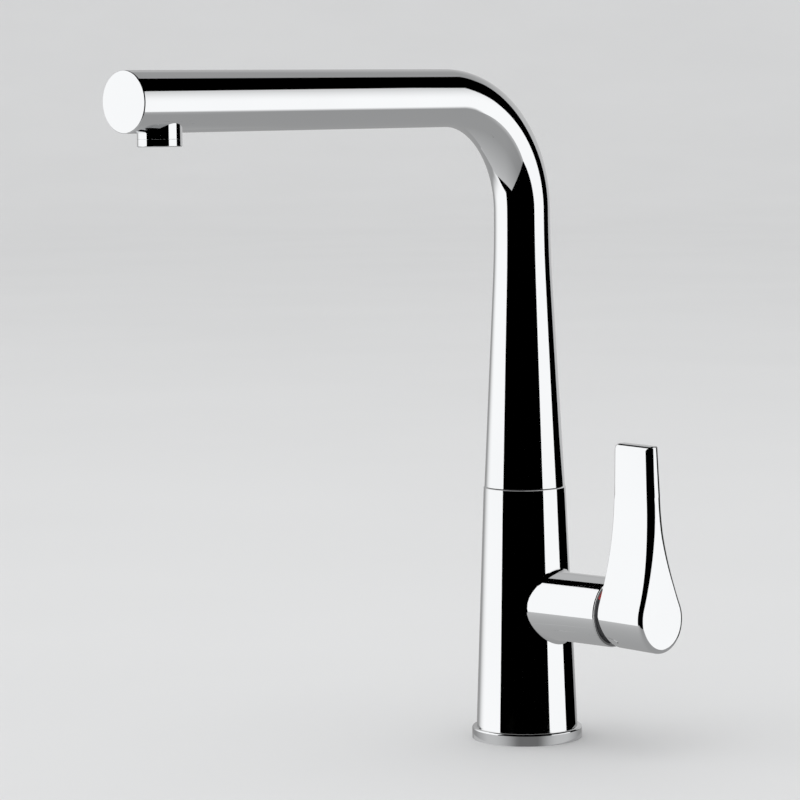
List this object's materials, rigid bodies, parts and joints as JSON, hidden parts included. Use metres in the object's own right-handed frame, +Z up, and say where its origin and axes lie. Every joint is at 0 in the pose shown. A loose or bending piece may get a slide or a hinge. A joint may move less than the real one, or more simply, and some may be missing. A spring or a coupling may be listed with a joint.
{
  "type": "kitchen faucet",
  "caption": "Tall kitchen faucet with a conical body, a swivelling spout with a square bend and aerator, and a side lever on a ceramic-disc cartridge.",
  "frame": {"origin": "on the deck plane, on the axis of the conical body and its deck ring", "axes": "+Z up along the body, -Y along the spout at rest, +X along the lever barrel"},
  "size_m": [0.1049, 0.2652, 0.303],
  "materials": {
    "chrome": "polished chrome plate on brass or zinc",
    "brass": "machined",
    "black_rubber": "moulded",
    "black_plastic": "moulded",
    "white_plastic": "moulded",
    "ceramic": "lapped",
    "steel": "machined",
    "grey_plastic": "moulded",
    "hot_red": "moulded",
    "cold_blue": "moulded"
  },
  "bodies": {
    "body": {"base_ring": "chrome", "base_gasket": "black_rubber", "body_casting": "chrome", "swivel_neck": "brass", "upper_neck_oring": "black_rubber", "lower_neck_oring": "black_rubber", "swivel_glide_ring": "black_plastic", "cartridge_base": "white_plastic", "cartridge_base_seals": "black_rubber", "cartridge_housing": "black_plastic", "fixed_ceramic_disc": "ceramic", "cartridge_nut": "brass", "index_ring": "black_plastic", "hot_mark": "hot_red", "cold_mark": "cold_blue"},
    "spout": {"spout_shell": "chrome", "spout_end_cap": "chrome", "swivel_socket": "brass", "spout_retaining_screw": "steel", "outlet_spigot": "chrome", "aerator_shell": "chrome", "aerator_insert": "white_plastic", "aerator_screen": "steel", "aerator_washer": "black_rubber"},
    "rotor": {"stem_carrier": "white_plastic", "pivot_pin": "steel"},
    "lever": {"lever_handle": "chrome", "lever_stem": "steel", "lever_grub_screw": "steel", "lever_screw_plug": "grey_plastic"},
    "disc": {"moving_ceramic_disc": "ceramic", "disc_carrier": "black_plastic"}
  },
  "joints": [
    {"name": "spout_swivel", "type": "hinge", "parent": "body", "child": "spout", "pos_m": [0, 0, 0.11525], "axis": [0, 0, 1], "continuous": true},
    {"name": "temperature_turn", "type": "hinge", "parent": "body", "child": "rotor", "pos_m": [0.03737, 0, 0.06195], "axis": [1, 0, 0], "range_deg": [-45, 45]},
    {"name": "flow_tilt", "type": "hinge", "parent": "rotor", "child": "lever", "pos_m": [0.03737, 0, 0.06195], "axis": [0, 1, 0], "range_deg": [0, 18]},
    {"name": "disc_slide", "type": "slide", "parent": "rotor", "child": "disc", "axis": [0, 0, 1], "range_m": [0, 0.00381]}
  ],
  "couplings": [
    {"joint": "disc_slide", "follows": "flow_tilt", "m_per_rad": 0.011804}
  ]
}
